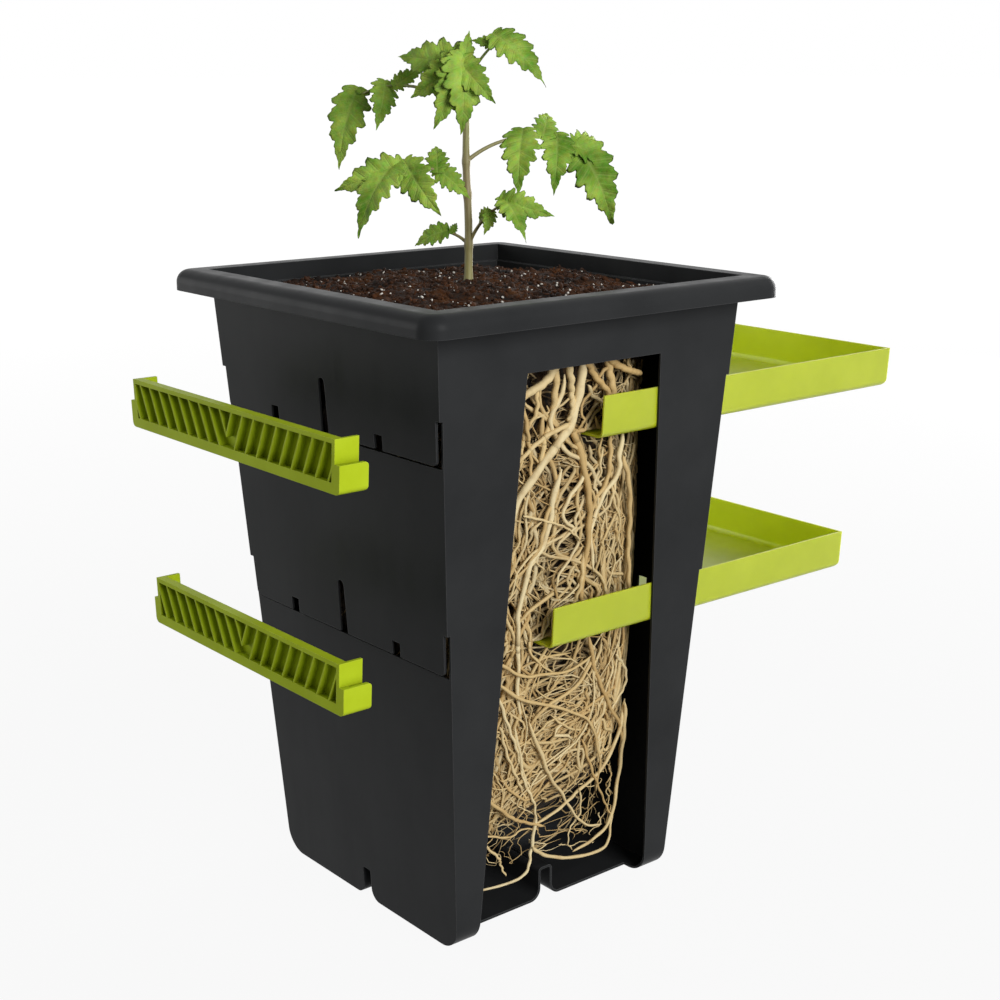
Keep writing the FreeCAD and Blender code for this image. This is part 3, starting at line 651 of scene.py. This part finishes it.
rise = np.linspace(-5, stem_height, 90)
path, radius = stem_at(rise)
swelling = 0.55 * np.exp(-((rise[:, None] - joints_at) / 3.2) ** 2).sum(1)
flare = np.exp(-np.clip(rise + 1, 0, 40) / 4)
points, quads, caps = tube(path, radius + swelling + flare, view_right, 18)
stem = build("stem_shoot", points, [quads, *caps], finishes=[stem_skin])
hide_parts("stem")
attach(stem, "pot")


# Leaves. Compound leaves on arched stalks: each leaflet is a soft, deeply toothed blade, folded a little along its
# midrib, puckered between its veins and drooping to a point. The upper face is mid green, the underside greyer.
light = np.array([-0.55, -0.67, 0.5])
stalk_radius = 1.1
stalk_sides, foot_sides = 10, 7
blade_rows, blade_columns = 73, 15
blade_sides = 2 * blade_columns - 2
blade_stretch = 1.03
foot_row, under_midrib = 17, blade_sides - blade_columns // 2
tooth_peak, small_peak = 0.68, 0.6


def blade(base, along, length, seed):
    """A leaflet as a flattened tube, u from base to tip and v from edge to edge, its rows swept along the side veins.

    Half width is W sin(pi u^0.6)^(0.7 + 0.6 u), cut in by teeth and by three smaller ones on each; a tooth rises to
    its vein's tip and drops behind it. The face folds up from the midrib by 0.3 |b|, eases off by b^2 at the margin,
    puckers between veins by a sine, and bows up by 0.10 sin(pi t) and down to the tip by 0.12 t^2 of its length.
    """
    rng = np.random.default_rng(seed)
    face = light - along * (light @ along)
    face /= np.linalg.norm(face)
    roll = rng.uniform(-0.45, 0.45)
    face = math.cos(roll) * face + math.sin(roll) * np.cross(face, along)
    across = np.cross(face, along)
    u = np.linspace(0, 1, blade_rows)[:, None]
    v = np.linspace(-1, 1, blade_columns)[None, :]
    start = -0.14 * length
    teeth = rng.uniform(5.2, 6.4)
    shift = np.where(v < 0, rng.uniform(0, 0.5), rng.uniform(0, 0.5))
    place = teeth * u**0.85 + shift
    part = place % 1
    behind = (1 - part) / (1 - tooth_peak)
    tooth = np.where(part < tooth_peak, (part / tooth_peak) ** 1.05, behind**1.1)
    small = (3 * place) % 1
    tooth_small = np.where(small < small_peak, small / small_peak, (1 - small) / (1 - small_peak))
    notch = 0.17 + 0.25 * (1 - u) ** 0.8
    outline = np.sin(math.pi * (0.004 + 0.966 * u) ** 0.6) ** (0.70 + 0.60 * u)
    width = rng.uniform(0.36, 0.43) * length * outline * (1 - notch * (1 - tooth)) * (1 - 0.13 * (1 - tooth_small))
    sweep = np.radians(-12 + 68 * u**0.6)
    a = start + (length - start) * (u - 0.10 * np.sin(math.pi * u)) + np.abs(v) * width * np.sin(sweep)
    a = np.minimum(a, length * (1.0 - 0.02 * np.abs(v)))
    b = v * width * np.cos(sweep)
    fold = 0.30 * np.abs(b) - 0.016 * b**2 * 50 / length
    pucker = 0.02 * length * np.sin(2 * math.pi * part) * np.abs(v) * (1 - 0.4 * np.abs(v))
    t = (a - start) / (length - start)
    bow = length * (0.10 * np.sin(math.pi * t) - 0.12 * t**2 + 0.02 * rng.normal() * v * u)
    c = fold + pucker + bow + stalk_radius
    thick = 0.22 * (1 - v**2) * np.ones_like(c)
    upper = np.stack([a, b, c + thick], -1)
    under = np.stack([a, b, c - thick], -1)[:, -2:0:-1]
    ring = np.concatenate([upper, under], 1)
    points = base + ring[..., :1] * along + ring[..., 1:2] * across + ring[..., 2:] * face
    veins = np.concatenate([place, place[:, -2:0:-1]], 1)
    edge_to_edge = (np.concatenate([v[0], v[0, -2:0:-1]]) + 1) / 2
    around = np.stack([veins, np.broadcast_to(edge_to_edge, veins.shape)], -1)
    beneath = np.concatenate([np.zeros(v.size), np.ones(v.size - 2)])[None, :] * np.ones((blade_rows, 1))
    return points.reshape(-1, 3), *wrapped(blade_rows, blade_sides), around.reshape(-1, 2), beneath.ravel()


def stalk(path, radius, across, sides):
    """A tube with the numbers that a leaflet has for each point, all zero."""
    points, quads, caps = tube(path, radius, across, sides)
    return points, quads, caps, np.zeros((len(points), 2)), np.zeros(len(points))


def arc(t, origin, forward, first, last, length):
    """Points on an arc of this length in the upright plane of forward, from its first angle to its last."""
    angle = first + (last - first) * np.atleast_1d(t)
    bend = length / (first - last)
    run = bend * (math.sin(first) - np.sin(angle))
    climb = bend * (np.cos(angle) - math.cos(first))
    return origin + run[:, None] * forward + climb[:, None] * up


def vein_line(tree, value, middle, near, far, strength=1.0):
    """Strength where value is at the middle of a vein, falling to 0 between near and far from it."""
    away = reckon(tree, "ABSOLUTE", reckon(tree, "SUBTRACT", value, middle))
    return ranged(tree, away, near, far, strength, 0.0)


leaf_green, tree, shader, where = blank_finish("leaf_green")
on_leaf = put(tree, "SeparateXYZ", {"Vector": put(tree, "TexCoord").outputs["UV"]}).outputs
side_vein = vein_line(tree, reckon(tree, "FRACT", on_leaf["X"]), 0.66, 0.01, 0.09)
midrib = vein_line(tree, on_leaf["Y"], 0.5, 0.01, 0.07)
closer = reckon(tree, "MULTIPLY", on_leaf["X"], 3.0)
small_vein = vein_line(tree, reckon(tree, "FRACT", closer), 0.6, 0.02, 0.2, 0.45)
vein = reckon(tree, "MAXIMUM", reckon(tree, "MAXIMUM", side_vein, small_vein), midrib)
cells = put(tree, "TexNoise", {"Vector": where, "Scale": 260.0, "Detail": 5.0, "Roughness": 0.65}).outputs
patch = noise(tree, where, 38.0, 3.0)
flesh = mixed(tree, ranged(tree, patch, 0.36, 0.64), tint("557d1b"), tint("a2c24e"))
fresh = mixed(tree, 0.75, flesh, cells["Color"], "SOFT_LIGHT")
veined = mixed(tree, reckon(tree, "MULTIPLY", vein, 0.3), fresh, tint("a5b663"))
underside = put(tree, "Attribute", attribute_name="underside").outputs["Fac"]
feed(shader, {
    "Base Color": mixed(tree, reckon(tree, "MULTIPLY", underside, 0.6), veined, tint("909f5a")),
    "Roughness": ranged(tree, cells["Fac"], 0.0, 1.0, 0.55, 0.8),
    "Normal": bumped(tree, reckon(tree, "MULTIPLY_ADD", vein, -0.3, cells["Fac"]), 0.8, 0.001),
    "Specular IOR Level": 0.18,
})

# Each leaf: rise above the soil, heading round from the view's right, the stalk's first and last angle and length,
# then leaflets as (place on the stalk, yaw towards the light, pitch, length).
seedling = {
    "leaf_low_left": (25, 148, 42, 3, 21, [(1, 10, -22, 27), (0.8, -90, 40, 10)]),
    "leaf_low_right": (25, -32, 66, 24, 44, [(1, 25, -42, 34), (1, -20, -14, 34), (0.66, 90, -62, 16),
                                             (0.66, -150, -25, 20)]),
    "leaf_middle_left": (60, 214, 49, -16, 66, [(1, 5, -52, 50), (0.95, -35, -18, 44), (0.8, 115, -52, 39),
                                                (0.42, 140, -40, 27), (0.45, -120, 40, 26), (0.8, -90, 30, 10)]),
    "leaf_middle_right": (82, 22, 38, -31, 92, [(1, 10, -62, 57), (0.95, -25, -12, 41), (0.78, 115, -50, 43),
                                                (0.5, 120, -52, 45), (0.66, -60, 32, 33), (0.5, -90, 25, 11)]),
    "leaf_upper_left": (115, 146, 35, -24, 101, [(1, 60, -72, 51), (0.74, 110, -60, 32), (0.62, -140, 30, 22),
                                                 (0.8, -100, 30, 12), (0.95, -40, 25, 12)]),
    "leaf_upper_right": (128, -18, 74, 36, 43, [(1, 5, -38, 44), (0.92, 165, 8, 16)]),
    "leaf_crown": (142, -100, 60, 20, 9, [(1, 25, -78, 46), (1, -50, -66, 46), (0.8, 70, -42, 36),
                                          (0.7, -85, -32, 40), (0.4, -105, 10, 50), (0.5, 100, 75, 24)]),
}
t = np.linspace(0, 1, 26)
for name, (rise, heading, lift_angle, sag, reach, leaflets) in seedling.items():
    out = math.radians(heading + view_heading)
    forward = np.array([math.cos(out), math.sin(out), 0.0])
    sideways = np.cross(up, forward)
    lit = 1 if sideways @ light > 0 else -1
    course = (stem_at(rise)[0][0], forward, math.radians(lift_angle), math.radians(sag), reach)
    shapes = [stalk(arc(t, *course), stalk_radius * (1.45 - 0.75 * t**0.6), sideways, stalk_sides)]
    for number, (place, yaw, pitch, length) in enumerate(leaflets):
        turn, tilt = out + lit * math.radians(yaw), math.radians(pitch)
        along = np.array([math.cos(turn) * math.cos(tilt), math.sin(turn) * math.cos(tilt), math.sin(tilt)])
        base = arc(place, *course)[0]
        shapes.append(blade(base, along, blade_stretch * length, sum(map(ord, name)) + 7 * number))
        midrib_at = shapes[-1][0].reshape(-1, blade_sides, 3)[foot_row, under_midrib]
        foot = base[None, :] + np.linspace(0, 1, 6)[:, None] * (midrib_at - base)
        shapes.append(stalk(foot, np.linspace(0.7, 0.4, 6), np.cross(along, up) + 1e-6, foot_sides))
    kinds = [0] + [1, 0] * len(leaflets)
    points, quads, caps, around, beneath = zip(*shapes)
    offsets = np.cumsum([0] + [len(p) for p in points])
    moved = [cap + offset for pair, offset in zip(caps, offsets) for cap in pair]
    ends = [[cap for cap in moved if cap.shape[1] == sides] for sides in (blade_sides, stalk_sides, foot_sides)]
    sets = [np.concatenate([q + offset for q, offset in zip(quads, offsets)])] + [np.concatenate(end) for end in ends]
    finish_of = np.concatenate([np.full(len(q), kind) for q, kind in zip(quads, kinds)]
                               + [np.full(len(end), kind) for end, kind in zip(ends, (1, 0, 0))])
    leaf = build(name.replace("leaf_", "leaf_blades_"), np.concatenate(points), sets,
                 {"underside": np.concatenate(beneath)}, np.concatenate(around), finish_of, [stem_skin, leaf_green])
    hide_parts(name)
    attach(leaf, "pot")


# Studio. A pale floor under a white surround, a broad soft lamp in front, one on the right that shines through the
# trays' thin ends and a weaker one behind on the left; the camera stands where the photograph was taken.
floor_half = 60.0
floor_corners = np.array([(-1, -1, 0), (1, -1, 0), (1, 1, 0), (-1, 1, 0)]) * floor_half
floor_mesh = bpy.data.meshes.new("studio_floor")
floor_mesh.from_pydata(floor_corners.tolist(), [], [(0, 1, 2, 3)])
floor = bpy.data.objects.new("studio_floor", floor_mesh)
bpy.context.scene.collection.objects.link(floor)


def plain_sight(tree):
    """1 for rays from the camera and for those that mirror or pass through things, 0 for the light on the object."""
    seen = put(tree, "LightPath").outputs
    direct = reckon(tree, "MAXIMUM", seen["Is Camera Ray"], seen["Is Transmission Ray"])
    return reckon(tree, "MAXIMUM", direct, seen["Is Glossy Ray"])


white = (1.0, 1.0, 1.0, 1.0)
floor_paint = bpy.data.materials.new("floor_paint")
floor_paint.use_nodes = True
tree = floor_paint.node_tree
tree.nodes.clear()
paper = put(tree, "BsdfDiffuse", {"Color": (0.25, 0.25, 0.25, 1.0)}).outputs["BSDF"]
glow = put(tree, "Emission", {"Color": white, "Strength": 1.03}).outputs["Emission"]
place = put(tree, "TexCoord").outputs["Object"]
out = put(tree, "VectorMath", {0: place}, operation="LENGTH").outputs["Value"]
share = reckon(tree, "MULTIPLY", plain_sight(tree), ranged(tree, out, 0.5, 3.5, 0.9, 1.0))
blend = put(tree, "MixShader", {"Fac": share, 1: paper, 2: glow}).outputs["Shader"]
put(tree, "OutputMaterial", {"Surface": blend})
floor_mesh.materials.append(floor_paint)

world = bpy.data.worlds.new("white_surround")
bpy.context.scene.world = world
world.use_nodes = True
tree = world.node_tree
tree.nodes.clear()
level = ranged(tree, plain_sight(tree), 0.0, 1.0, 0.18, 1.0)
sky = put(tree, "Background", {"Color": white, "Strength": level}).outputs["Background"]
put(tree, "OutputWorld", {"Surface": sky})


def soft_lamp(name, place, size, watts):
    """A square area lamp aimed at the middle of the pot."""
    lamp = bpy.data.lights.new(name, "AREA")
    lamp.shape = "SQUARE"
    lamp.size = size
    lamp.energy = watts
    made = bpy.data.objects.new(name, lamp)
    bpy.context.scene.collection.objects.link(made)
    aim = np.array([0.0, 0.0, 0.3]) - np.array(place)
    flat_run = math.hypot(aim[0], aim[1])
    made.location = place
    made.rotation_euler = (math.atan2(flat_run, -aim[2]), 0.0, math.atan2(aim[1], aim[0]) - math.pi / 2)


soft_lamp("front_lamp", (-0.1, -2.6, 1.2), 1.6, 69.0)
soft_lamp("right_lamp", (2.3, 0.4, 0.55), 1.4, 56.0)
soft_lamp("left_lamp", (-1.7, 2.2, 0.7), 1.4, 21.0)

camera = bpy.data.cameras.new("photo_camera")
camera.sensor_width = 36.0
camera.lens = 59.588
camera.clip_end = 200.0
stand = bpy.data.objects.new("photo_camera", camera)
bpy.context.scene.collection.objects.link(stand)
stand.location = (-0.72707, -0.91025, 0.59120)
stand.rotation_euler = (math.radians(90 - 14.755), 0.0, math.radians(-39.591))
bpy.context.scene.camera = stand
bpy.context.scene.view_settings.view_transform = "Standard"
